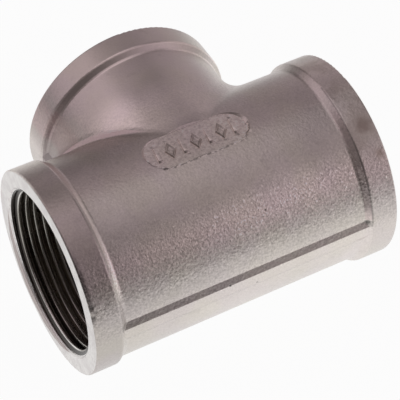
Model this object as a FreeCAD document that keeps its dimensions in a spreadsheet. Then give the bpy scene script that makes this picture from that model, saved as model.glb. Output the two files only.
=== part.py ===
import FreeCAD, Part
import math
import os
import Sketcher

# An equal tee for threaded pipe, cast in one piece of stainless steel.
# The run lies along X, the branch along +Y, and the marked side faces +Z.
# The origin is where the three pipe axes cross. All sizes are in millimetres.

doc = FreeCAD.newDocument("threaded_tee")
sheet = doc.addObject("Spreadsheet::Sheet", "sizes")

values = [
    # bore: radius to the thread's root, and the cast passage behind the thread
    ("thread_radius", 23.9),
    ("thread_length", 19.0),
    ("runout_length", 0.9),
    ("run_core_step", 0.9),
    ("branch_core_step", 1.0),
    ("mouth_chamfer", 0.5),
    # barrels: wall outside the thread's root
    ("run_wall", 3.95),
    ("branch_wall", 3.7),
    # plain length of each barrel from the other barrel's side to its own band
    ("run_neck", 8.4),
    ("branch_neck", 8.85),
    # bands at the three ends
    ("band_height", 1.35),
    ("run_band_slope", 1.8),
    ("branch_band_slope", 1.8),
    ("run_band_width", 7.7),
    ("branch_band_width", 7.0),
    # rounds
    ("face_round", 0.5),
    ("band_round", 1.0),
    ("base_round", 1.5),
    ("crotch_round", 7.0),
    ("rib_foot_round", 0.5),
    # rib along the mid-plane
    ("rib_height", 0.75),
    ("rib_face_half", 1.66),
    ("rib_depth", 3.0),
    ("rib_spread", 5.64),
    ("rib_root", 3.0),
    # sunk pad for the cast marking; its wall leans outward by an angle in degrees
    ("mark_straight_half", 9.0),
    ("mark_end_radius", 5.7),
    ("mark_depth", 0.85),
    ("mark_shift", 0.6),
    ("mark_wall_lean", 40.0),
    # how far a cutting profile runs past the face that it cuts
    ("cut_over", 1.0),
]
number = {}
row = 1
for name, value in values:
    sheet.set("A" + str(row), name)
    sheet.set("B" + str(row), str(value))
    sheet.setAlias("B" + str(row), name)
    number[name] = value
    row = row + 1
doc.recompute()

# Lengths that are built up from the sheet's sizes, as sums of their names.
RUN_BODY = "thread_radius + run_wall"
BRANCH_BODY = "thread_radius + branch_wall"
BAND = RUN_BODY + " + band_height"
RUN_SLOPE = BRANCH_BODY + " + run_neck"
RUN_BAND = RUN_SLOPE + " + run_band_slope"
RUN_FACE = RUN_BAND + " + run_band_width"
BRANCH_SLOPE = RUN_BODY + " + branch_neck"
BRANCH_BAND = BRANCH_SLOPE + " + branch_band_slope"
BRANCH_FACE = BRANCH_BAND + " + branch_band_width"
RUN_CORE = "thread_radius - run_core_step"
BRANCH_CORE = "thread_radius - branch_core_step"
MOUTH = "thread_radius + mouth_chamfer"
RIB_FACE = RUN_BODY + " + rib_height"
RIB_FOOT = RIB_FACE + " - rib_depth"
RIB_FOOT_HALF = "rib_face_half + rib_spread"
RIB_BEND = RUN_BODY + " + crotch_round"
RIB_TURN = "crotch_round - rib_height"
MARK_FLOOR = RUN_BODY + " - mark_depth"


def amount(text):
    # the length that a sum of named sizes stands for
    total = 0.0
    sign = 1.0
    for word in text.split():
        if word == "+":
            sign = 1.0
        elif word == "-":
            sign = -1.0
        else:
            total = total + sign * number[word]
    return total


def bound(text):
    # the same sum as an expression on the sheet
    words = []
    for word in text.split():
        if word in ("+", "-"):
            words.append(word)
        else:
            words.append("sizes." + word)
    return " ".join(words)


def coordinate(pair):
    # a coordinate is None on an axis, or a side and the sum that gives its size
    if pair is None:
        return 0.0
    side, text = pair
    return side * amount(text)


def new_sketch(body, name, role, lift=None):
    sketch = body.newObject("Sketcher::SketchObject", name)
    for feature in body.Origin.OriginFeatures:
        if feature.Role == role:
            sketch.AttachmentSupport = [(feature, "")]
    sketch.MapMode = "FlatFace"
    if lift is not None:
        sketch.setExpression("AttachmentOffset.Base.z", bound(lift))
    doc.recompute()
    return sketch


def named_rule(sketch, rule, text):
    index = sketch.addConstraint(rule)
    sketch.setExpression("Constraints[" + str(index) + "]", bound(text))


def hold(sketch, part, end, pair, kind):
    # keep one point at its named distance from the sketch's axes
    if pair is None:
        axis = -2 if kind == "DistanceX" else -1
        sketch.addConstraint(Sketcher.Constraint("PointOnObject", part, end, axis))
        return
    side, text = pair
    if side > 0:
        rule = Sketcher.Constraint(kind, -1, 1, part, end, amount(text))
    else:
        rule = Sketcher.Constraint(kind, part, end, -1, 1, amount(text))
    named_rule(sketch, rule, text)


def corner_round(before, corner, after, size):
    # the arc that rounds a corner, and whether it starts on the side before it
    back = (before - corner).normalize()
    ahead = (after - corner).normalize()
    half = 0.5 * back.getAngle(ahead)
    centre = corner + (back + ahead).normalize() * (size / math.sin(half))
    leaving = corner + back * (size / math.tan(half)) - centre
    joining = corner + ahead * (size / math.tan(half)) - centre
    turn = (corner - before).cross(after - corner).z
    circle = Part.Circle(centre, FreeCAD.Vector(0, 0, 1), size)
    leaving_angle = math.atan2(leaving.y, leaving.x)
    joining_angle = math.atan2(joining.y, joining.x)
    if turn > 0:
        arc = Part.ArcOfCircle(circle, leaving_angle, joining_angle)
    else:
        arc = Part.ArcOfCircle(circle, joining_angle, leaving_angle)
    return arc, turn > 0, centre + leaving, centre + joining


def outline(sketch, corners):
    # closed outline through the named corners, each plain or with a named round
    places = []
    for corner in corners:
        places.append(FreeCAD.Vector(coordinate(corner[0]), coordinate(corner[1]), 0))
    count = len(places)
    starts = list(places)
    finishes = list(places)
    arcs = {}
    for index in range(count):
        if len(corners[index]) == 3:
            before = places[index - 1]
            after = places[(index + 1) % count]
            size = number[corners[index][2]]
            arc, forward, leave, join = corner_round(before, places[index], after, size)
            arcs[index] = (arc, forward)
            finishes[index] = leave
            starts[index] = join
    for index in range(count):
        line = Part.LineSegment(starts[index], finishes[(index + 1) % count])
        sketch.addGeometry(line, False)
    for index in range(count):
        last = (index - 1) % count
        across = corners[index][0]
        up = corners[index][1]
        if index not in arcs:
            sketch.addConstraint(Sketcher.Constraint("Coincident", last, 2, index, 1))
            hold(sketch, index, 1, across, "DistanceX")
            hold(sketch, index, 1, up, "DistanceY")
            continue
        arc, forward = arcs[index]
        bend = sketch.addGeometry(arc, False)
        leave_end = 1 if forward else 2
        join_end = 2 if forward else 1
        sketch.addConstraint(Sketcher.Constraint("Tangent", last, 2, bend, leave_end))
        sketch.addConstraint(Sketcher.Constraint("Tangent", bend, join_end, index, 1))
        size = corners[index][2]
        named_rule(sketch, Sketcher.Constraint("Radius", bend, number[size]), size)
        point = sketch.addGeometry(Part.Point(places[index]), True)
        sketch.addConstraint(Sketcher.Constraint("PointOnObject", point, 1, last))
        sketch.addConstraint(Sketcher.Constraint("PointOnObject", point, 1, index))
        hold(sketch, point, 1, across, "DistanceX")
        hold(sketch, point, 1, up, "DistanceY")
    doc.recompute()


def volume():
    doc.recompute()
    return body.Shape.Volume


body = doc.addObject("PartDesign::Body", "tee_body")
body.Label = "tee_body"
doc.recompute()

# Run: a plain barrel with a raised band at each end. The band's face edge, the edge
# of its slanted inner wall and the foot of that wall are rounded.
run_profile = new_sketch(body, "run_profile", "XY_Plane")
outline(run_profile, [
    ((-1, RUN_FACE), None),
    ((-1, RUN_FACE), (1, BAND), "face_round"),
    ((-1, RUN_BAND), (1, BAND), "band_round"),
    ((-1, RUN_SLOPE), (1, RUN_BODY), "base_round"),
    ((1, RUN_SLOPE), (1, RUN_BODY), "base_round"),
    ((1, RUN_BAND), (1, BAND), "band_round"),
    ((1, RUN_FACE), (1, BAND), "face_round"),
    ((1, RUN_FACE), None),
])
run = body.newObject("PartDesign::Revolution", "run")
run.Profile = run_profile
run.ReferenceAxis = (run_profile, ["H_Axis"])
run.Angle = 360.0
doc.recompute()

# Branch: the same form from the crossing out to its own band. Its barrel is a
# little slimmer than the run's, so the crossing line closes over the top in one curve.
branch_profile = new_sketch(body, "branch_profile", "XY_Plane")
outline(branch_profile, [
    (None, None),
    ((1, BRANCH_BODY), None),
    ((1, BRANCH_BODY), (1, BRANCH_SLOPE), "base_round"),
    ((1, BAND), (1, BRANCH_BAND), "band_round"),
    ((1, BAND), (1, BRANCH_FACE), "face_round"),
    (None, (1, BRANCH_FACE)),
])
branch = body.newObject("PartDesign::Revolution", "branch")
branch.Profile = branch_profile
branch.ReferenceAxis = (branch_profile, ["V_Axis"])
branch.Angle = 360.0
doc.recompute()

# Crotch: the round where the two barrels meet.
crossing = []
for index, edge in enumerate(branch.Shape.Edges):
    if not isinstance(edge.Curve, (Part.Circle, Part.Line)):
        crossing.append("Edge" + str(index + 1))
crotch = body.newObject("PartDesign::Fillet", "crotch")
crotch.Base = (branch, crossing)
crotch.setExpression("Radius", "sizes.crotch_round")
doc.recompute()

# Rib along the mid-plane: straight down the front of the run, from band to band.
section_corners = [
    ((-1, RIB_FACE), (-1, "rib_face_half")),
    ((-1, RIB_FACE), (1, "rib_face_half")),
    ((-1, RIB_FOOT), (1, RIB_FOOT_HALF)),
    ((-1, RIB_FOOT), (-1, RIB_FOOT_HALF)),
]
rib_section = new_sketch(body, "rib_section", "YZ_Plane")
outline(rib_section, section_corners)
front_rib = body.newObject("PartDesign::Pad", "front_rib")
front_rib.Profile = rib_section
front_rib.Midplane = True
reach = bound(RUN_BAND + " + rib_root")
front_rib.setExpression("Length", "2 * (" + reach + ")")
doc.recompute()

# The same rib round each crotch, from the run's band to the branch's band. Its
# path is the line of the rib's face: two straight lengths and the turn between.
path_start = RUN_BAND + " + rib_root"
path_finish = BRANCH_BAND + " + rib_root"
bend_path = new_sketch(body, "crotch_rib_path", "XY_Plane")
face_line = amount(RIB_FACE)
bend = amount(RIB_BEND)
first = FreeCAD.Vector(amount(path_start), face_line, 0)
second = FreeCAD.Vector(bend, face_line, 0)
third = FreeCAD.Vector(face_line, bend, 0)
fourth = FreeCAD.Vector(face_line, amount(path_finish), 0)
turn_centre = FreeCAD.Vector(bend, bend, 0)
turn_circle = Part.Circle(turn_centre, FreeCAD.Vector(0, 0, 1), amount(RIB_TURN))
bend_path.addGeometry(Part.LineSegment(first, second), False)
bend_path.addGeometry(Part.LineSegment(third, fourth), False)
bend_path.addGeometry(Part.ArcOfCircle(turn_circle, math.pi, 1.5 * math.pi), False)
bend_path.addConstraint(Sketcher.Constraint("Coincident", 0, 2, 2, 2))
bend_path.addConstraint(Sketcher.Constraint("Coincident", 1, 1, 2, 1))
hold(bend_path, 0, 1, (1, path_start), "DistanceX")
hold(bend_path, 0, 1, (1, RIB_FACE), "DistanceY")
hold(bend_path, 0, 2, (1, RIB_BEND), "DistanceX")
hold(bend_path, 0, 2, (1, RIB_FACE), "DistanceY")
hold(bend_path, 1, 1, (1, RIB_BEND), "DistanceY")
hold(bend_path, 1, 2, (1, RIB_FACE), "DistanceX")
hold(bend_path, 1, 2, (1, path_finish), "DistanceY")
hold(bend_path, 2, 3, (1, RIB_BEND), "DistanceX")
hold(bend_path, 2, 3, (1, RIB_BEND), "DistanceY")
doc.recompute()

bend_section = new_sketch(body, "crotch_rib_section", "YZ_Plane", path_start)
outline(bend_section, [
    ((1, RIB_FACE), (-1, "rib_face_half")),
    ((1, RIB_FACE), (1, "rib_face_half")),
    ((1, RIB_FOOT), (1, RIB_FOOT_HALF)),
    ((1, RIB_FOOT), (-1, RIB_FOOT_HALF)),
])
crotch_rib = body.newObject("PartDesign::AdditivePipe", "crotch_rib")
crotch_rib.Profile = bend_section
crotch_rib.Spine = bend_path
doc.recompute()
crotch_ribs = body.newObject("PartDesign::Mirrored", "crotch_ribs")
crotch_ribs.Originals = [crotch_rib]
crotch_ribs.MirrorPlane = (bend_path, ["V_Axis"])
body.Tip = crotch_ribs
doc.recompute()

# Round in the corner on each side of the front rib, where it meets the barrel.
feet = []
for index, edge in enumerate(crotch_ribs.Shape.Edges):
    if isinstance(edge.Curve, Part.Line) and edge.Length > amount(RUN_SLOPE):
        spot = edge.Vertexes[0].Point
        lift = math.hypot(spot.y, spot.z) - amount(RUN_BODY)
        if spot.y < 0 and abs(lift) < 0.01:
            feet.append("Edge" + str(index + 1))
if len(feet) != 2:
    raise RuntimeError("the front rib has no pair of feet")
rib_feet = body.newObject("PartDesign::Fillet", "rib_feet")
rib_feet.Base = (crotch_ribs, feet)
rib_feet.setExpression("Radius", "sizes.rib_foot_round")
doc.recompute()

# Sunk pad for the marking on the run's top: a flat floor with round ends and
# walls that lean outward, as a foundry pattern needs.
mark = new_sketch(body, "mark_outline", "XY_Plane", MARK_FLOOR)
upward = FreeCAD.Vector(0, 0, 1)
straight = amount("mark_straight_half")
shift = amount("mark_shift")
end_radius = amount("mark_end_radius")
right = Part.Circle(FreeCAD.Vector(straight, shift, 0), upward, end_radius)
left = Part.Circle(FreeCAD.Vector(-straight, shift, 0), upward, end_radius)
mark.addGeometry(Part.ArcOfCircle(right, -0.5 * math.pi, 0.5 * math.pi), False)
mark.addGeometry(Part.ArcOfCircle(left, 0.5 * math.pi, 1.5 * math.pi), False)
top_right = FreeCAD.Vector(straight, shift + end_radius, 0)
top_left = FreeCAD.Vector(-straight, shift + end_radius, 0)
low_right = FreeCAD.Vector(straight, shift - end_radius, 0)
low_left = FreeCAD.Vector(-straight, shift - end_radius, 0)
mark.addGeometry(Part.LineSegment(top_right, top_left), False)
mark.addGeometry(Part.LineSegment(low_left, low_right), False)
mark.addConstraint(Sketcher.Constraint("Tangent", 2, 1, 0, 2))
mark.addConstraint(Sketcher.Constraint("Tangent", 2, 2, 1, 1))
mark.addConstraint(Sketcher.Constraint("Tangent", 3, 1, 1, 2))
mark.addConstraint(Sketcher.Constraint("Tangent", 3, 2, 0, 1))
mark.addConstraint(Sketcher.Constraint("Equal", 0, 1))
named_rule(mark, Sketcher.Constraint("Radius", 0, end_radius), "mark_end_radius")
hold(mark, 0, 3, (1, "mark_straight_half"), "DistanceX")
hold(mark, 0, 3, (1, "mark_shift"), "DistanceY")
hold(mark, 1, 3, (-1, "mark_straight_half"), "DistanceX")
hold(mark, 1, 3, (1, "mark_shift"), "DistanceY")
doc.recompute()
before = volume()
mark_pad = body.newObject("PartDesign::Pocket", "mark_pad")
mark_pad.Profile = mark
mark_pad.Reversed = True
mark_pad.setExpression("Length", bound("mark_depth + cut_over"))
mark_pad.setExpression("TaperAngle", bound("mark_wall_lean"))
if volume() >= before:
    raise RuntimeError("the marking's pad takes nothing away")

# Run's bore: a mouth chamfer, the threaded length and the cast core behind it.
MOUTH_OVER = MOUTH + " + cut_over"
RUN_CUT = RUN_FACE + " + cut_over"
RUN_CHAMFER = RUN_FACE + " - mouth_chamfer"
RUN_THREAD = RUN_FACE + " - thread_length"
RUN_RUNOUT = RUN_THREAD + " - runout_length"
run_bore_profile = new_sketch(body, "run_bore_profile", "XY_Plane")
outline(run_bore_profile, [
    ((-1, RUN_CUT), None),
    ((-1, RUN_CUT), (1, MOUTH_OVER)),
    ((-1, RUN_CHAMFER), (1, "thread_radius")),
    ((-1, RUN_THREAD), (1, "thread_radius")),
    ((-1, RUN_RUNOUT), (1, RUN_CORE)),
    ((1, RUN_RUNOUT), (1, RUN_CORE)),
    ((1, RUN_THREAD), (1, "thread_radius")),
    ((1, RUN_CHAMFER), (1, "thread_radius")),
    ((1, RUN_CUT), (1, MOUTH_OVER)),
    ((1, RUN_CUT), None),
])
before = volume()
run_bore = body.newObject("PartDesign::Groove", "run_bore")
run_bore.Profile = run_bore_profile
run_bore.ReferenceAxis = (run_bore_profile, ["H_Axis"])
run_bore.Angle = 360.0
if volume() >= before:
    raise RuntimeError("the run's bore takes nothing away")

# Branch's bore: the same, from the crossing out to the branch's mouth.
BRANCH_CUT = BRANCH_FACE + " + cut_over"
BRANCH_CHAMFER = BRANCH_FACE + " - mouth_chamfer"
BRANCH_THREAD = BRANCH_FACE + " - thread_length"
BRANCH_RUNOUT = BRANCH_THREAD + " - runout_length"
branch_bore_profile = new_sketch(body, "branch_bore_profile", "XY_Plane")
outline(branch_bore_profile, [
    (None, None),
    ((1, BRANCH_CORE), None),
    ((1, BRANCH_CORE), (1, BRANCH_RUNOUT)),
    ((1, "thread_radius"), (1, BRANCH_THREAD)),
    ((1, "thread_radius"), (1, BRANCH_CHAMFER)),
    ((1, MOUTH_OVER), (1, BRANCH_CUT)),
    (None, (1, BRANCH_CUT)),
])
before = volume()
branch_bore = body.newObject("PartDesign::Groove", "branch_bore")
branch_bore.Profile = branch_bore_profile
branch_bore.ReferenceAxis = (branch_bore_profile, ["V_Axis"])
branch_bore.Angle = 360.0
if volume() >= before:
    raise RuntimeError("the branch's bore takes nothing away")

for item in doc.Objects:
    for word in item.State:
        if word in ("Invalid", "Error"):
            raise RuntimeError(item.Name + " is " + word)
for item in (body,):
    if item.Shape.isNull() or not item.Shape.isValid():
        raise RuntimeError(item.Label + " has no sound shape")
os.makedirs("parts", exist_ok=True)
for item in (body,):
    item.Shape.exportStep("parts/" + item.Label + ".step")
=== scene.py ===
import bpy
import bmesh
import math
from mathutils import Matrix
from types import SimpleNamespace


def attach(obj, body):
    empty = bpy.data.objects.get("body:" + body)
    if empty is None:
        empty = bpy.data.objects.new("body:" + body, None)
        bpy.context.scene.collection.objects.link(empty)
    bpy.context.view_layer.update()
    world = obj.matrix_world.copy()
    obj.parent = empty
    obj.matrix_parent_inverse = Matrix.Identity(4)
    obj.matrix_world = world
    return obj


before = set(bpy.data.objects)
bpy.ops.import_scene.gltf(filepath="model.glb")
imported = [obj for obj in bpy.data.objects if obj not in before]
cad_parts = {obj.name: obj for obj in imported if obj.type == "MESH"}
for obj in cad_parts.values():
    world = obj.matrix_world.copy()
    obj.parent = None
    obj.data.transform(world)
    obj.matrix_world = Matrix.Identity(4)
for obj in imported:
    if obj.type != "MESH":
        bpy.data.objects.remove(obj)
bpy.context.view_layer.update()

# The tee's own sizes, in metres: the run lies on X, the branch on +Y.
MM = 0.001
END_FACE = 45.5 * MM
BAND_RADIUS = 29.2 * MM
BAND_START = 37.8 * MM
MOUTH_RADIUS = 24.4 * MM
MOUTH_DEPTH = 0.62 * MM
FACE_DEPTH = 0.06 * MM
BORE_RADIUS = 23.93 * MM
RUN_BARREL = 27.85 * MM
BRANCH_BARREL = 27.60 * MM
HAIR = 0.03 * MM
PAD_FLOOR = 27.0 * MM
PAD_MIDDLE = 0.6 * MM
PAD_HALF_STRAIGHT = 9.0 * MM
PAD_END_RADIUS = 5.7 * MM
PAD_EDGE = PAD_END_RADIUS + 0.02 * MM

# The thread: a Whitworth form with round crests and roots, and where it fades out.
PITCH = 2.309 * MM
HALF_PITCH = 1.1545 * MM
THREAD_CREST = 22.42 * MM
THREAD_ROOT = 23.95 * MM
THREAD_FOOT = 24.10 * MM
THREAD_BURIED = 24.0 * MM
THREAD_FADE = 16.5 * MM
THREAD_END = 18.5 * MM
FIRST_CREST = 2.34 * MM
ROUND_RADIUS = 0.317 * MM
FLANK_START = 0.281 * MM
FLANK_END = 0.8735 * MM
FLANK_RADIUS = 22.59 * MM
FLANK_SLOPE = 1.9210
STEPS_PER_TURN = 72

# How the countersink trims the first turn.
LEAST_DEPTH = 0.05 * MM
CHAMFER_DEPTH = 0.52 * MM
FOOT_CLEARANCE = 0.15 * MM
CREST_CLEARANCE = 0.03 * MM
STEEP_CHAMFER_RADIUS = MOUTH_RADIUS + 0.4 * MM
STEEP_CHAMFER_SLOPE = 1.8

# Places across half a ridge, from its crest to the middle of the groove, in millimetres.
HALF_RIDGE = (0.0, 0.10, 0.19, 0.281, 0.40, 0.52, 0.64, 0.76, 0.8735, 0.97, 1.06, 1.1545)

# The raised shapes on the pad, with the width and length of each kind and a lean in degrees.
MARK_COUNT = 7
MARK_STEP = 3.75 * MM
MARK_RISE = 0.62 * MM
LOZENGE = (3.6 * MM, 6.8 * MM)
BAR = (1.5 * MM, 6.2 * MM)
MARK_LEAN = -8.0
MARK_TAPER = 0.74
LOZENGE_RIM = 0.38 * MM
LOZENGE_SUNK = 0.9 * MARK_RISE

# Colours.
SKIN_DARK = (0.655, 0.610, 0.575)
SKIN_PALE = (0.725, 0.675, 0.635)
MAUVE_TINT = (1.0, 0.98, 1.0)
TAN_TINT = (0.995, 0.99, 0.965)
CROTCH_ROSE = (1.0, 0.89, 0.89)
STAIN_BROWN = (0.46, 0.41, 0.36)
FACE_DULL = (0.70, 0.665, 0.655)
FACE_BRIGHT = (0.80, 0.775, 0.755)
CUT_UPPER = (0.50, 0.43, 0.41)
CUT_LOWER = (0.39, 0.325, 0.31)
BORE_BROWN = (0.24, 0.215, 0.19)
CREST_WARM = (0.84, 0.81, 0.77)
CREST_BRIGHT = (0.90, 0.87, 0.83)
CREST_DULL = (0.36, 0.34, 0.31)
CREST_DEEP = (0.35, 0.335, 0.305)
FLANK_MIDDLE = (0.13, 0.115, 0.10)
FLANK_DEEP = (0.36, 0.33, 0.29)
FLANK_MOUTH = (0.045, 0.038, 0.034)
MOUTH_BRIGHT = (0.80, 0.77, 0.755)
PAPER_GREY = (0.9, 0.9, 0.9)
PAPER_NEAR = (1.0, 1.0, 1.0)
PAPER_FAR = (0.45, 0.44, 0.44)
PAPER_GLOW = 0.96
ROSE_LIGHT = (1.0, 0.84, 0.91)
DEEP_ROSE_LIGHT = (1.0, 0.80, 0.88)

# How fine the patterns are.
CAST_GRAIN_SCALE = 1400.0
THREAD_GRAIN_SCALE = 2500.0
RINGS_PER_METRE = 6000.0


# Materials
def node(tree, kind, **settings):
    made = tree.nodes.new(kind)
    for key, value in settings.items():
        setattr(made, key, value)
    return made


def wire(tree, start, end):
    tree.links.new(start, end)


def feed(tree, socket, value):
    # A socket takes a number, a colour or what another node puts out.
    if isinstance(value, (int, float)):
        socket.default_value = value
    elif isinstance(value, tuple):
        socket.default_value = (*value, 1.0)
    else:
        wire(tree, value, socket)


def arithmetic(tree, operation, *values):
    step = node(tree, "ShaderNodeMath", operation=operation)
    for socket, value in zip(step.inputs, values):
        feed(tree, socket, value)
    return step.outputs[0]


def times(tree, product, *masks):
    for mask in masks:
        product = arithmetic(tree, "MULTIPLY", product, mask)
    return product


def above(tree, value, limit):
    return arithmetic(tree, "GREATER_THAN", value, limit)


def below(tree, value, limit):
    return arithmetic(tree, "LESS_THAN", value, limit)


def soft_step(tree, value, start, end):
    ramp = node(tree, "ShaderNodeMapRange", interpolation_type="SMOOTHSTEP")
    ramp.inputs["From Min"].default_value = start
    ramp.inputs["From Max"].default_value = end
    wire(tree, value, ramp.inputs["Value"])
    return ramp.outputs["Result"]


def slope(tree, value, start, full):
    # A soft step whose two limits are in millimetres.
    return soft_step(tree, value, start * MM, full * MM)


def window(tree, value, start, full, fade, gone):
    # Full between the two inner limits and nothing outside the outer ones, in millimetres.
    return times(tree, slope(tree, value, start, full), slope(tree, value, gone, fade))


def change(tree, mask, amount):
    # A factor that is 1 away from the mask and 1 + amount where it is full.
    return arithmetic(tree, "MULTIPLY_ADD", mask, amount, 1.0)


def blend_colour(tree, amount, low, high, mode="MIX"):
    step = node(tree, "ShaderNodeMix", data_type="RGBA", blend_type=mode)
    for place, value in ((0, amount), (6, low), (7, high)):
        feed(tree, step.inputs[place], value)
    return step.outputs[2]


def blend_value(tree, amount, low, high):
    step = node(tree, "ShaderNodeMix", data_type="FLOAT")
    for place, value in ((0, amount), (2, low), (3, high)):
        feed(tree, step.inputs[place], value)
    return step.outputs[0]


def noise(tree, where, scale, detail=2.0, roughness=0.5):
    grain = node(tree, "ShaderNodeTexNoise")
    grain.inputs["Scale"].default_value = scale
    grain.inputs["Detail"].default_value = detail
    grain.inputs["Roughness"].default_value = roughness
    wire(tree, where, grain.inputs["Vector"])
    return grain.outputs["Fac"]


def distance_to(tree, place, spot):
    # How far a point is from a spot given in millimetres.
    away = node(tree, "ShaderNodeVectorMath", operation="DISTANCE")
    wire(tree, place, away.inputs[0])
    away.inputs[1].default_value = [value * MM for value in spot]
    return away.outputs["Value"]


def bumped(tree, surface, height, strength, distance):
    bump = node(tree, "ShaderNodeBump")
    bump.inputs["Strength"].default_value = strength
    bump.inputs["Distance"].default_value = distance
    wire(tree, height, bump.inputs["Height"])
    wire(tree, bump.outputs["Normal"], surface.inputs["Normal"])


def fresh_material(name, metallic=1.0):
    material = bpy.data.materials.new(name)
    material.use_nodes = True
    tree = material.node_tree
    tree.nodes.clear()
    out = node(tree, "ShaderNodeOutputMaterial")
    surface = node(tree, "ShaderNodeBsdfPrincipled")
    surface.inputs["Metallic"].default_value = metallic
    wire(tree, surface.outputs["BSDF"], out.inputs["Surface"])
    return material, tree, surface


def fresh_group(name, inputs, outputs):
    group = bpy.data.node_groups.new(name, "ShaderNodeTree")
    for socket, kind in inputs:
        group.interface.new_socket(socket, in_out="INPUT", socket_type=kind)
    for socket in outputs:
        group.interface.new_socket(socket, in_out="OUTPUT", socket_type="NodeSocketFloat")
    return group, node(group, "NodeGroupInput"), node(group, "NodeGroupOutput")


def cast_grain_group():
    group, start, end = fresh_group("cast_grain",
                                    (("Place", "NodeSocketVector"), ("Grain Scale", "NodeSocketFloat")),
                                    ("Height", "Speckle", "Cloud", "Pits"))
    scaled = node(group, "ShaderNodeVectorMath", operation="SCALE")
    wire(group, start.outputs["Place"], scaled.inputs[0])
    wire(group, start.outputs["Grain Scale"], scaled.inputs["Scale"])
    where = scaled.outputs["Vector"]
    fine = noise(group, where, 1.0, 2.0, 0.6)
    coarse = noise(group, where, 0.40, 1.0, 0.5)
    wire(group, arithmetic(group, "MULTIPLY_ADD", coarse, 0.35, fine), end.inputs["Height"])
    dots = noise(group, where, 1.25, 1.0, 0.6)
    wire(group, arithmetic(group, "SUBTRACT", dots, 0.5), end.inputs["Speckle"])
    cloud = noise(group, where, 0.035, 3.0, 0.6)
    wire(group, soft_step(group, cloud, 0.3, 0.7), end.inputs["Cloud"])
    spots = noise(group, where, 0.25, 1.0, 0.5)
    wire(group, soft_step(group, spots, 0.66, 0.74), end.inputs["Pits"])
    return group


def lathe_marks_group():
    group, start, end = fresh_group("lathe_marks",
                                    (("Radius", "NodeSocketFloat"), ("Rings per Metre", "NodeSocketFloat")),
                                    ("Height",))
    turns = arithmetic(group, "MULTIPLY", start.outputs["Radius"], start.outputs["Rings per Metre"])
    line = node(group, "ShaderNodeTexNoise", noise_dimensions="1D")
    line.inputs["Scale"].default_value = 1.0
    line.inputs["Detail"].default_value = 3.0
    wire(group, turns, line.inputs["W"])
    wire(group, line.outputs["Fac"], end.inputs["Height"])
    return group


CAST_GRAIN = cast_grain_group()
LATHE_MARKS = lathe_marks_group()


def placed_group(tree, group, **values):
    made = node(tree, "ShaderNodeGroup", node_tree=group)
    for key, value in values.items():
        feed(tree, made.inputs[key.replace("_", " ")], value)
    return made


def length_of(tree, first, second):
    squares = [arithmetic(tree, "MULTIPLY", value, value) for value in (first, second)]
    return arithmetic(tree, "SQRT", arithmetic(tree, "ADD", *squares))


def object_position(tree):
    return node(tree, "ShaderNodeTexCoord").outputs["Object"]


def places(tree):
    # Where a point lies: its coordinates, its distances from the two axes, the distance along
    # the run, the depth below the nearest end face and the radius from that port's own axis.
    place = object_position(tree)
    split = node(tree, "ShaderNodeSeparateXYZ")
    wire(tree, place, split.inputs[0])
    x, y, z = split.outputs
    from_run = length_of(tree, y, z)
    from_branch = length_of(tree, x, z)
    along = arithmetic(tree, "ABSOLUTE", x)
    depth = arithmetic(tree, "SUBTRACT", END_FACE, arithmetic(tree, "MAXIMUM", along, y))
    radius = blend_value(tree, above(tree, y, 29.5 * MM), from_run, from_branch)
    return SimpleNamespace(place=place, x=x, y=y, z=z, from_run=from_run, from_branch=from_branch,
                           along=along, depth=depth, radius=radius)


# Flaws of this casting, and spots of painted shade: place and size in millimetres, and how much paler or
# darker.
FLAWS = (
    (-5.9, -28.6, 1.7, 0.55, -0.65),
    (2.2, -28.6, -1.4, 0.50, -0.40),
    (-8.6, -28.6, 1.4, 0.45, 0.25),
    (9.5, -28.6, 1.5, 0.60, 0.25),
    (23.7, -23.6, 14.7, 0.40, -0.60),
    (32.0, -23.4, 15.0, 0.35, 0.60),
    (42.5, -22.8, 18.3, 0.40, 0.50),
    (43.1, -24.1, 16.6, 0.35, 0.40),
    (43.4, -25.2, 14.7, 0.45, 0.50),
    (14.2, -3.5, 27.6, 0.60, 0.45),
    # These two are painted shadow on the left band by its outer edge.
    (-44.5, -26.3, 12.6, 0.70, -0.25),
    (-43.8, -26.8, 11.3, 0.60, -0.25),
    (-18.5, -22.0, 17.0, 0.35, -0.45),
    (3.3, -18.7, 20.6, 0.50, 0.40),
    (-3.4, -19.1, 20.3, 0.45, 0.45),
    (-5.8, -19.6, 19.8, 0.45, 0.35),
    (-10.7, -17.4, 21.8, 0.40, 0.30),
    (-17.1, -18.4, 20.9, 0.40, 0.35),
    (9.6, -17.6, 21.6, 0.45, 0.35),
    (7.4, -18.9, 20.5, 0.50, 0.35),
    (8.1, -21.9, 17.2, 0.40, -0.45),
    (0.5, -15.9, 22.9, 0.40, -0.30),
    (5.2, -18.6, 20.7, 0.35, -0.40),
    (4.1, -24.9, 12.6, 0.45, -0.30),
    # A dark spot where the rib's wall ends at the right band.
    (36.6, -28.1, 3.3, 1.10, -0.45),
    # These ten are painted shade in the pad's corners and beside its raised shapes.
    (11.7, 4.0, 27.0, 0.55, -0.50),
    (11.0, -2.7, 27.0, 0.60, -0.55),
    (7.0, -2.8, 27.0, 0.55, -0.55),
    (6.4, -5.0, 27.1, 0.50, -0.40),
    (-7.5, 4.5, 27.0, 0.55, -0.35),
    (-11.2, 4.2, 27.0, 0.50, -0.35),
    (0.5, -0.2, 27.0, 0.50, -0.45),
    (-3.5, -2.6, 27.0, 0.55, -0.40),
    (-12.1, -4.8, 27.4, 0.60, -0.55),
    (-11.4, -4.9, 27.4, 0.60, -0.55),
)

# Brown stains on the right band: place and size in millimetres.
STAINS = (
    (42.0, -14.4, 25.3, 4.2),
    (43.8, -21.2, 20.2, 2.8),
)
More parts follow.
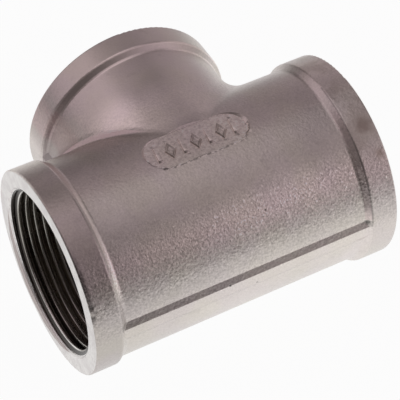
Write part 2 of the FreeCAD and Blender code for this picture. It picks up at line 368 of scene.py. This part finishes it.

# How much paler or darker the skin is inside each mask. Most of these are painted light and painted shade;
# pad_rough and pits are the skin's own grain.
SHADES = {
    "pad": 0.33,
    "pad_wall": -0.48,
    "pad_rough": 1.0,
    "mark_wall": -0.38,
    "left_band": -0.22,
    "left_top": 0.50,
    "left_slope": 0.60,
    "left_edge": -0.62,
    "right_low": -0.12,
    "right_top": 0.16,
    "right_line": -0.35,
    "right_wall_low": -0.40,
    "right_wall_high": 0.30,
    "left_part": -0.10,
    "mid_light": 0.24,
    "low_shade": -0.12,
    "sparkle": 0.40,
    "rib_face": 0.08,
    "rib_wall": -0.28,
    "branch_left": -0.42,
    "branch_slope_edges": 0.35,
    "branch_glow": 0.34,
    "crown": 0.20,
    "crotch_line": 0.30,
    "pits": -0.06,
}
DARKEST_TONE = 0.22

# What the skin's colour is multiplied by inside each mask.
TINTS = {
    "branch_left": (1.0, 0.94, 0.97),
    "front_tan": (0.955, 1.0, 0.975),
    "right_wall": (1.0, 0.93, 0.96),
    "branch_flank": (1.0, 0.90, 0.92),
}


def from_pad_spine(tree, at):
    # Distance from the pad's middle line, which ends short of its round ends.
    beyond = arithmetic(tree, "SUBTRACT", at.along, PAD_HALF_STRAIGHT)
    aside = arithmetic(tree, "SUBTRACT", at.y, PAD_MIDDLE)
    return length_of(tree, arithmetic(tree, "MAXIMUM", beyond, 0.0), aside)


def pad_masks(tree, at):
    # The sunk pad: its floor made paler, a painted highlight, with its own rough grain; painted shade on
    # the walls of its raised shapes; and painted shade on its own leaning wall, fading towards the left end
    # and turning to a faint painted highlight at the right end.
    pad = times(tree, at.top, below(tree, at.from_spine, PAD_EDGE))
    wall = times(tree, at.top, above(tree, at.from_spine, PAD_EDGE),
                 below(tree, at.from_run, RUN_BARREL - HAIR),
                 change(tree, slope(tree, at.x, 4.0, 11.0), -1.3),
                 change(tree, slope(tree, at.x, -7.0, -12.0), -0.7))
    rough = arithmetic(tree, "SUBTRACT", noise(tree, at.place, 1000.0, 2.0, 0.65), 0.5)
    return {
        "pad": pad,
        "pad_wall": wall,
        "pad_rough": times(tree, pad, rough),
        "mark_wall": times(tree, pad, window(tree, at.z, 27.03, 27.10, 27.50, 27.60)),
    }


def pad_rim_tone(tree, at):
    # The pad's front rim, broken into dashes of painted shade and painted highlight.
    rim = times(tree, at.top, at.front, window(tree, at.from_spine, 5.2, 5.6, 6.1, 6.6))
    dashes = soft_step(tree, noise(tree, at.place, 900.0, 1.0, 0.5), 0.42, 0.58)
    return times(tree, rim, arithmetic(tree, "MULTIPLY_ADD", dashes, 0.75, -0.5))


def left_band_masks(tree, at):
    # The band round the left port, darker all over; painted light on its upper far side, a painted
    # highlight along its slanted inner wall, and painted shade, broken into patches, along its outer edge
    # by the face.
    nicks = soft_step(tree, noise(tree, at.place, 420.0, 2.0, 0.6), 0.30, 0.55)
    return {
        "left_band": times(tree, slope(tree, at.x, -37.2, -38.4), above(tree, at.from_run, 26.0 * MM)),
        "left_top": times(tree, below(tree, at.x, -BAND_START), above(tree, at.z, 0.0),
                          slope(tree, at.y, 0.0, 7.0)),
        "left_slope": times(tree, window(tree, at.x, -37.2, -36.8, -36.0, -35.6),
                            slope(tree, at.y, 4.0, -8.0), slope(tree, at.z, 8.0, 18.0)),
        "left_edge": times(tree, at.front, slope(tree, at.x, -44.0, -44.6),
                           window(tree, at.z, 7.0, 10.0, 20.0, 25.0), nicks),
    }


def right_band_masks(tree, at):
    # The band round the right port and its slanted inner wall: painted shade low on the band's front,
    # painted light on its top, a painted dark line where band and wall meet, painted shade low on the wall
    # and painted highlight high on it, and a rose tint over the wall.
    wall = times(tree, above(tree, at.x, 36.0 * MM), below(tree, at.x, 37.7 * MM),
                 slope(tree, at.y, -3.0, -11.0), above(tree, at.z, 4.0 * MM))
    return {
        "right_low": times(tree, at.right_band, at.front, window(tree, at.z, 1.0, 6.0, 9.0, 14.0)),
        "right_top": times(tree, at.right_band, slope(tree, at.z, 23.0, 27.0)),
        "right_line": times(tree, at.front, above(tree, at.z, 3.0 * MM),
                            window(tree, at.x, 37.45, 37.65, 37.85, 38.05)),
        "right_wall": wall,
        "right_wall_low": times(tree, wall, window(tree, at.z, 5.0, 9.0, 14.0, 18.0)),
        "right_wall_high": times(tree, wall, slope(tree, at.z, 18.5, 22.0)),
    }


def barrel_masks(tree, at):
    # The front of the run between its bands, with the rib along its middle: darker towards the left end, a
    # broad painted highlight across its middle with painted glints in it, painted shade below that, a
    # painted reflection on the rib's face, painted shade on the rib's upper wall, and a tint high on the
    # front.
    ahead = times(tree, at.barrel, at.front)
    glints = soft_step(tree, noise(tree, at.place, 1400.0, 1.0, 0.5), 0.58, 0.70)
    return {
        "left_part": times(tree, at.barrel, slope(tree, at.y, 6.0, -8.0), slope(tree, at.x, -2.0, -24.0)),
        "mid_light": times(tree, ahead, slope(tree, at.z, 11.0, 19.0), slope(tree, at.y, -2.0, -9.0),
                           change(tree, slope(tree, at.z, 19.0, 27.0), -0.5),
                           change(tree, slope(tree, at.x, 20.0, 30.0), -0.8),
                           slope(tree, at.x, -38.0, -28.0)),
        "low_shade": times(tree, ahead, window(tree, at.z, 3.0, 6.0, 10.0, 15.0)),
        "sparkle": times(tree, ahead, window(tree, at.z, 12.0, 15.5, 19.0, 22.5),
                         slope(tree, at.x, -16.0, -4.0), glints),
        "rib_face": times(tree, ahead, slope(tree, at.z, 2.0, 1.2)),
        "rib_wall": times(tree, ahead, above(tree, at.from_run, RUN_BARREL + HAIR),
                          window(tree, at.z, 1.60, 1.75, 3.6, 3.9)),
        "front_tan": times(tree, above(tree, at.x, -BAND_START), slope(tree, at.y, -1.0, -7.0),
                           slope(tree, at.z, 17.0, 22.0)),
    }


def branch_masks(tree, at):
    # The branch's left side with painted shade low on it and a rose tint on its flank, the paler edges of
    # its band's slanted wall, a painted highlight on its barrel and on the crown of the crotch, and a
    # painted rose highlight along the crotch below it.
    side = times(tree, slope(tree, at.x, -19.0, -24.0), above(tree, at.y, 24.0 * MM))
    low_band = times(tree, above(tree, at.y, 37.8 * MM), change(tree, slope(tree, at.z, 2.0, 8.0), -0.55))
    slope_edges = arithmetic(tree, "MAXIMUM", window(tree, at.y, 36.3, 36.6, 36.9, 37.2),
                             window(tree, at.y, 38.0, 38.3, 38.5, 38.8))
    from_glow = distance_to(tree, at.place, (-13.5, 20.0, 24.0))
    from_crown = distance_to(tree, at.place, (0.0, 13.0, 27.0))
    return {
        "branch_left": times(tree, side, slope(tree, at.z, 17.0, 9.0),
                             arithmetic(tree, "SUBTRACT", 1.0, low_band)),
        "branch_flank": times(tree, side, window(tree, at.z, 7.0, 10.0, 15.0, 18.0)),
        "branch_slope_edges": times(tree, slope_edges, slope(tree, at.z, 3.0, 14.0)),
        "branch_glow": times(tree, slope(tree, from_glow, 10.5, 1.0), above(tree, at.from_run, 29.0 * MM)),
        "crown": times(tree, slope(tree, from_crown, 15.0, 4.0), slope(tree, at.y, 7.0, 11.0),
                       above(tree, at.from_run, RUN_BARREL + 0.05 * MM)),
        "crotch_line": times(tree, at.barrel, window(tree, at.x, -35.0, -32.0, -14.0, -3.0),
                             above(tree, at.y, 9.0 * MM), above(tree, at.z, 2.0 * MM),
                             above(tree, at.from_branch, BRANCH_BARREL + 0.08 * MM),
                             window(tree, at.from_run, 28.0, 28.4, 29.2, 30.0)),
    }


def skin_colour(tree, at, cloud):
    # Mauve and tan clouds over the whole casting.
    skin = blend_colour(tree, cloud, SKIN_DARK, SKIN_PALE)
    wide_cloud = soft_step(tree, noise(tree, at.place, 80.0, 2.0, 0.5), 0.35, 0.65)
    tint = blend_colour(tree, wide_cloud, MAUVE_TINT, TAN_TINT)
    return blend_colour(tree, 1.0, skin, tint, "MULTIPLY")


def speckle_contrast(tree, at):
    # How strong the speckle is: strongest low on the barrel, weak on the branch and underneath.
    strength = arithmetic(tree, "MULTIPLY_ADD", at.lower, 0.90, 0.36)
    return times(tree, strength, change(tree, slope(tree, at.z, 10.0, 6.0), -0.4),
                 change(tree, at.quiet, -0.65), change(tree, at.under, -0.6))


def brown_mottle(tree, at):
    # Faint patches over the right band, and its two stains.
    patches = soft_step(tree, noise(tree, at.place, 170.0, 3.0, 0.6), 0.42, 0.60)
    mottle = times(tree, at.right_band, slope(tree, at.z, 12.0, 24.0), patches)
    mottle = times(tree, mottle, 0.7)
    ragged = noise(tree, at.place, 600.0, 2.0, 0.5)
    for *spot, size in STAINS:
        away = distance_to(tree, at.place, spot)
        away = arithmetic(tree, "MULTIPLY_ADD", ragged, 1.5 * MM, away)
        stain = times(tree, at.right_band, slope(tree, away, size, 0.3 * size))
        mottle = arithmetic(tree, "MULTIPLY_ADD", stain, 1.6, mottle)
    return times(tree, mottle, 0.5)


def machined_places(tree, at):
    # The end faces and the mouths' chamfers.
    mouth_edge = times(tree, below(tree, at.depth, MOUTH_DEPTH),
                       below(tree, at.radius, MOUTH_RADIUS + 0.05 * MM))
    return arithmetic(tree, "MAXIMUM", below(tree, at.depth, FACE_DEPTH), mouth_edge)


def machined_colour(tree, at):
    # Smudged bright steel; the left face has a painted dark reflection that is off its centre, darker
    # towards the bottom.
    smudge = soft_step(tree, noise(tree, at.place, 300.0, 3.0, 0.6), 0.35, 0.65)
    bright = blend_colour(tree, smudge, FACE_DULL, FACE_BRIGHT)
    darker = blend_colour(tree, slope(tree, at.z, 6.0, -8.0), CUT_UPPER, CUT_LOWER)
    reach = distance_to(tree, at.place, (-45.5, 3.2, -4.95))
    reach = arithmetic(tree, "MULTIPLY_ADD", noise(tree, at.place, 250.0, 2.0, 0.5), 1.2 * MM, reach)
    off_centre = times(tree, below(tree, at.x, 0.0), slope(tree, reach, 22.7, 22.2),
                       above(tree, at.radius, 24.3 * MM))
    return blend_colour(tree, off_centre, bright, darker)


def bore_places(tree, at):
    in_branch = times(tree, below(tree, at.from_branch, BORE_RADIUS), above(tree, at.y, 0.0))
    return arithmetic(tree, "MAXIMUM", below(tree, at.from_run, BORE_RADIUS), in_branch)


def cast_steel():
    material, tree, surface = fresh_material("cast_steel")
    at = places(tree)
    at.front = below(tree, at.y, 0.0)
    at.barrel = below(tree, at.along, BAND_START)
    at.right_band = above(tree, at.x, BAND_START)
    at.top = above(tree, at.z, 26.0 * MM)
    at.quiet = slope(tree, at.y, 18.0, 28.0)
    at.under = times(tree, at.front, slope(tree, at.z, 3.0, -1.0))
    at.lower = slope(tree, at.z, 24.5, 17.5)
    at.from_spine = from_pad_spine(tree, at)
    grain = placed_group(tree, CAST_GRAIN, Place=at.place, Grain_Scale=CAST_GRAIN_SCALE)
    height, speckle, cloud, pits = grain.outputs
    masks = {"pits": pits}
    for part_masks in (pad_masks, left_band_masks, right_band_masks, barrel_masks, branch_masks):
        masks.update(part_masks(tree, at))

    # The tone: speckle, paler and darker places, most of them painted light and shade, and single flaws and
    # spots of painted shade, which are also bumps or dents.
    tone = arithmetic(tree, "MULTIPLY_ADD", speckle, speckle_contrast(tree, at), 1.0)
    for name, amount in SHADES.items():
        tone = times(tree, tone, change(tree, masks[name], amount))
    tone = arithmetic(tree, "ADD", tone, pad_rim_tone(tree, at))
    dents = height
    for *spot, size, amount in FLAWS:
        mark = slope(tree, distance_to(tree, at.place, spot), size, 0.3 * size)
        tone = arithmetic(tree, "MULTIPLY_ADD", mark, amount, tone)
        dents = arithmetic(tree, "MULTIPLY_ADD", mark, amount, dents)
    tone = arithmetic(tree, "MAXIMUM", tone, DARKEST_TONE)

    # The colour: skin, machined faces, and the bores, dark brown with oxide and with painted shade.
    skin = blend_colour(tree, 1.0, skin_colour(tree, at, cloud), tone, "MULTIPLY")
    for name, tint in TINTS.items():
        skin = blend_colour(tree, masks[name], skin, tint, "MULTIPLY")
    # A painted rose highlight along the crotch, which is also made rougher.
    crotch_line = masks["crotch_line"]
    skin = blend_colour(tree, times(tree, crotch_line, 0.7), skin, CROTCH_ROSE)
    skin = blend_colour(tree, brown_mottle(tree, at), skin, STAIN_BROWN)
    machined = machined_places(tree, at)
    colour = blend_colour(tree, machined, skin, machined_colour(tree, at))
    colour = blend_colour(tree, bore_places(tree, at), colour, BORE_BROWN)
    wire(tree, colour, surface.inputs["Base Color"])

    worn = arithmetic(tree, "MULTIPLY_ADD", cloud, 0.05, 0.355)
    worn = arithmetic(tree, "MULTIPLY_ADD", at.under, -0.07, worn)
    worn = arithmetic(tree, "MULTIPLY_ADD", crotch_line, 0.42, worn)
    wire(tree, blend_value(tree, machined, worn, 0.34), surface.inputs["Roughness"])

    rings = placed_group(tree, LATHE_MARKS, Radius=at.radius, Rings_per_Metre=RINGS_PER_METRE)
    cast = times(tree, dents, arithmetic(tree, "MULTIPLY_ADD", at.quiet, -0.45, 1.35),
                 arithmetic(tree, "MULTIPLY_ADD", at.lower, 0.4, 0.6))
    bumped(tree, surface, blend_value(tree, machined, cast, rings.outputs["Height"]), 0.4, 0.2 * MM)
    return material


def cut_thread_steel():
    material, tree, surface = fresh_material("cut_thread_steel")
    at = places(tree)
    grain = placed_group(tree, CAST_GRAIN, Place=at.place, Grain_Scale=THREAD_GRAIN_SCALE)
    cloud = grain.outputs["Cloud"]

    # Crests with painted highlight and flanks with painted shade, which differ less past the second turn;
    # more painted shade on the crests just below the middle and on the flanks near the mouth.
    crest = slope(tree, at.radius, 22.85, 22.50)
    deep = slope(tree, at.depth, 3.1, 3.9)
    pale = blend_colour(tree, cloud, CREST_WARM, CREST_BRIGHT)
    dull = times(tree, slope(tree, at.z, 12.0, 0.0), slope(tree, at.z, -19.5, -14.5))
    pale = blend_colour(tree, dull, pale, CREST_DULL)
    pale = blend_colour(tree, deep, pale, CREST_DEEP)
    flank = blend_colour(tree, deep, FLANK_MIDDLE, FLANK_DEEP)
    flank = blend_colour(tree, slope(tree, at.depth, 2.5, 2.0), flank, FLANK_MOUTH)
    colour = blend_colour(tree, crest, flank, pale)
    colour = blend_colour(tree, below(tree, at.depth, MOUTH_DEPTH), colour, MOUTH_BRIGHT)
    wire(tree, colour, surface.inputs["Base Color"])
    wire(tree, arithmetic(tree, "MULTIPLY_ADD", cloud, 0.06, 0.25), surface.inputs["Roughness"])
    bumped(tree, surface, grain.outputs["Height"], 0.15, 0.1 * MM)
    return material


def pale_floor():
    material, tree, surface = fresh_material("pale_floor", 0.0)
    feed(tree, surface.inputs["Base Color"], PAPER_GREY)
    surface.inputs["Roughness"].default_value = 0.8
    ray = node(tree, "ShaderNodeLightPath").outputs
    shown = arithmetic(tree, "MAXIMUM", ray["Is Camera Ray"], ray["Is Glossy Ray"])
    shown = arithmetic(tree, "MAXIMUM", shown, ray["Is Transmission Ray"])
    shown = times(tree, shown, PAPER_GLOW)
    # The paper's glow is a painted pool of light: white round the object, and grey far from it.
    reach = node(tree, "ShaderNodeVectorMath", operation="LENGTH")
    wire(tree, object_position(tree), reach.inputs[0])
    far = slope(tree, reach.outputs["Value"], 140.0, 340.0)
    glow = node(tree, "ShaderNodeEmission")
    glow.inputs["Strength"].default_value = 1.0
    wire(tree, blend_colour(tree, far, PAPER_NEAR, PAPER_FAR), glow.inputs["Color"])
    mix = node(tree, "ShaderNodeMixShader")
    wire(tree, shown, mix.inputs[0])
    wire(tree, surface.outputs["BSDF"], mix.inputs[1])
    wire(tree, glow.outputs["Emission"], mix.inputs[2])
    wire(tree, mix.outputs[0], tree.get_output_node("ALL").inputs["Surface"])
    return material


# Pieces
def finished_piece(name, shape, material, sharp=30.0):
    bmesh.ops.recalc_face_normals(shape, faces=shape.faces)
    for face in shape.faces:
        face.smooth = True
    mesh = bpy.data.meshes.new(name)
    shape.to_mesh(mesh)
    shape.free()
    mesh.set_sharp_from_angle(angle=math.radians(sharp))
    mesh.materials.append(material)
    piece = bpy.data.objects.new(name, mesh)
    bpy.context.scene.collection.objects.link(piece)
    return piece


def carried(piece):
    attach(piece, "root")
    return piece


def ridge_radius(offset):
    # Whitworth form: a round crest, a straight flank and a round root.
    offset = abs(offset)
    if offset < FLANK_START:
        return THREAD_CREST + ROUND_RADIUS - math.sqrt(ROUND_RADIUS ** 2 - offset ** 2)
    if offset < FLANK_END:
        return FLANK_RADIUS + (offset - FLANK_START) * FLANK_SLOPE
    hollow = math.sqrt(max(0.0, ROUND_RADIUS ** 2 - (HALF_PITCH - offset) ** 2))
    return min(THREAD_ROOT, THREAD_ROOT - ROUND_RADIUS + hollow)


def trimmed(spot):
    # The countersink trims the first turn, and the last turns fade into the wall.
    depth = max(spot.x, LEAST_DEPTH)
    radius = math.hypot(spot.y, spot.z)
    clearance = 0.0
    if radius > THREAD_BURIED:
        clearance = FOOT_CLEARANCE
    elif depth < CHAMFER_DEPTH:
        clearance = CREST_CLEARANCE
    chamfer = min(MOUTH_RADIUS - depth, STEEP_CHAMFER_RADIUS - STEEP_CHAMFER_SLOPE * depth)
    faded = (depth - THREAD_FADE) / (THREAD_END - THREAD_FADE)
    fade = THREAD_CREST + (THREAD_ROOT - THREAD_CREST) * faded
    reach = max(radius, chamfer + clearance, min(fade, THREAD_ROOT))
    return depth, spot.y * reach / radius, spot.z * reach / radius


def thread_ridge():
    # One helical ridge for a bore along +X whose face is at X = 0.
    begin = math.radians(-100.0)
    start = FIRST_CREST + PITCH * (begin / math.tau) - PITCH
    offsets = [-value for value in reversed(HALF_RIDGE[1:])] + list(HALF_RIDGE)
    corners = [(start + value * MM, ridge_radius(value * MM)) for value in offsets]
    corners += [(start + HALF_PITCH, THREAD_FOOT), (start - HALF_PITCH, THREAD_FOOT)]
    shape = bmesh.new()
    spots = [shape.verts.new((depth, radius, 0.0)) for depth, radius in corners]
    edges = [shape.edges.new(pair) for pair in zip(spots, spots[1:] + spots[:1])]
    bmesh.ops.rotate(shape, verts=spots, cent=(0, 0, 0), matrix=Matrix.Rotation(begin, 3, "X"))
    steps = int((THREAD_END + 0.6 * MM - start) / PITCH * STEPS_PER_TURN)
    bmesh.ops.spin(shape, geom=spots + edges, cent=(0, 0, 0), axis=(1, 0, 0), steps=steps,
                   dvec=(PITCH / STEPS_PER_TURN, 0, 0), angle=math.tau * steps / STEPS_PER_TURN)
    bmesh.ops.holes_fill(shape, edges=shape.edges, sides=0)
    for spot in shape.verts:
        spot.co = trimmed(spot.co)
    bmesh.ops.remove_doubles(shape, verts=shape.verts, dist=0.002 * MM)
    bmesh.ops.dissolve_degenerate(shape, edges=shape.edges, dist=0.001 * MM)
    return shape


def thread(name, ridge, to_port, material):
    shape = ridge.copy()
    bmesh.ops.transform(shape, matrix=to_port, verts=shape.verts)
    return carried(finished_piece(name, shape, material))


def raised_mark(shape, where, outline, square):
    # A four-sided raised shape with sloping walls: a bar when square, else a sunk lozenge.
    width, length = outline
    turn = Matrix.Rotation(math.radians(45.0 if square else 0.0), 4, "Z")
    grow = math.sqrt(0.5) if square else 0.5
    lean = Matrix.Rotation(math.radians(MARK_LEAN), 4, "Z")
    size = Matrix.Diagonal((width * grow, length * grow, 1.0, 1.0))
    place = Matrix.Translation((where, PAD_MIDDLE, PAD_FLOOR + 0.5 * MARK_RISE - 0.1 * MM))
    made = bmesh.ops.create_cone(shape, cap_ends=True, segments=4, radius1=1.0, radius2=MARK_TAPER,
                                 depth=MARK_RISE + 0.2 * MM, matrix=place @ lean @ size @ turn)
    if not square:
        top = [face for face in shape.faces if face.verts[0] in made["verts"] and face.normal.z > 0.9]
        bmesh.ops.inset_region(shape, faces=top, thickness=LOZENGE_RIM, use_even_offset=True)
        sunk = {spot for face in top for spot in face.verts}
        bmesh.ops.translate(shape, verts=list(sunk), vec=(0, 0, -LOZENGE_SUNK))


def pad_marks(material):
    # Plain bars and lozenges in turn, which spell nothing.
    shape = bmesh.new()
    for count in range(MARK_COUNT):
        where = (count - MARK_COUNT // 2) * MARK_STEP
        square = count % 2 == 0
        raised_mark(shape, where, BAR if square else LOZENGE, square)
    shape.normal_update()
    bmesh.ops.bevel(shape, geom=shape.edges, offset=0.10 * MM, segments=2, profile=0.5,
                    affect="EDGES", material=-1)
    return carried(finished_piece("pad_marks", shape, material, 50.0))


def paper_floor():
    shape = bmesh.new()
    bmesh.ops.create_grid(shape, x_segments=1, y_segments=1, size=3.0)
    bmesh.ops.translate(shape, verts=shape.verts, vec=(0, 0, -BAND_RADIUS))
    return finished_piece("floor", shape, pale_floor())


steel = cast_steel()
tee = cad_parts["tee_body"]
tee.data.materials.clear()
tee.data.materials.append(steel)
pad_marks(steel)

thread_steel = cut_thread_steel()
ridge = thread_ridge()
left_port = Matrix.Translation((-END_FACE, 0, 0))
for name, turn in (("thread_left", 0.0), ("thread_right", 180.0), ("thread_branch", -90.0)):
    thread(name, ridge, Matrix.Rotation(math.radians(turn), 4, "Z") @ left_port, thread_steel)
ridge.free()

floor = paper_floor()

# Light
LAMP_SIZE = 0.9
LAMP_DISTANCE = 0.9

world = bpy.data.worlds.new("studio")
world.use_nodes = True
background = world.node_tree.nodes["Background"]
background.inputs["Color"].default_value = (1, 0.86, 0.86, 1)
background.inputs["Strength"].default_value = 0.1
bpy.context.scene.world = world


def lamp(name, bearing, height, power, colour=ROSE_LIGHT):
    # A soft disc at a bearing from +X and a height above the floor, both in degrees.
    light = bpy.data.lights.new(name, "AREA")
    light.shape = "DISK"
    light.size = LAMP_SIZE
    light.energy = power
    light.color = colour
    disc = bpy.data.objects.new(name, light)
    bpy.context.scene.collection.objects.link(disc)
    swing = Matrix.Rotation(math.radians(bearing), 4, "Z")
    tilt = Matrix.Rotation(math.radians(90 - height), 4, "Y")
    disc.matrix_world = swing @ tilt @ Matrix.Translation((0, 0, LAMP_DISTANCE))
    disc.visible_camera = False


lamp("soft_far_left", 135, 35, 0.97)
lamp("soft_far_right", 45, 12, 0.60)
lamp("soft_right", 0, 12, 0.57)
lamp("soft_near_right_low", 315, 12, 0.82)
lamp("soft_near_right", 315, 35, 0.50, colour=DEEP_ROSE_LIGHT)
lamp("soft_far", 90, 60, 0.35)
lamp("soft_top", 0, 90, 0.87)

# Camera, fitted to the circles and edges that the photograph shows: metres, radians, millimetres.
CAMERA_PLACE = (-0.17011, -0.31988, 0.39503)
CAMERA_TURN = (0.748136, 0.009274, -0.500404)
SENSOR_WIDTH = 36.0
FOCAL_LENGTH = 177.308

lens = bpy.data.cameras.new("camera")
lens.sensor_width = SENSOR_WIDTH
lens.lens = FOCAL_LENGTH
lens.clip_start = 0.01
camera = bpy.data.objects.new("camera", lens)
bpy.context.scene.collection.objects.link(camera)
camera.location = CAMERA_PLACE
camera.rotation_mode = "XYZ"
camera.rotation_euler = CAMERA_TURN
bpy.context.scene.camera = camera

bpy.context.scene.view_settings.view_transform = "Standard"
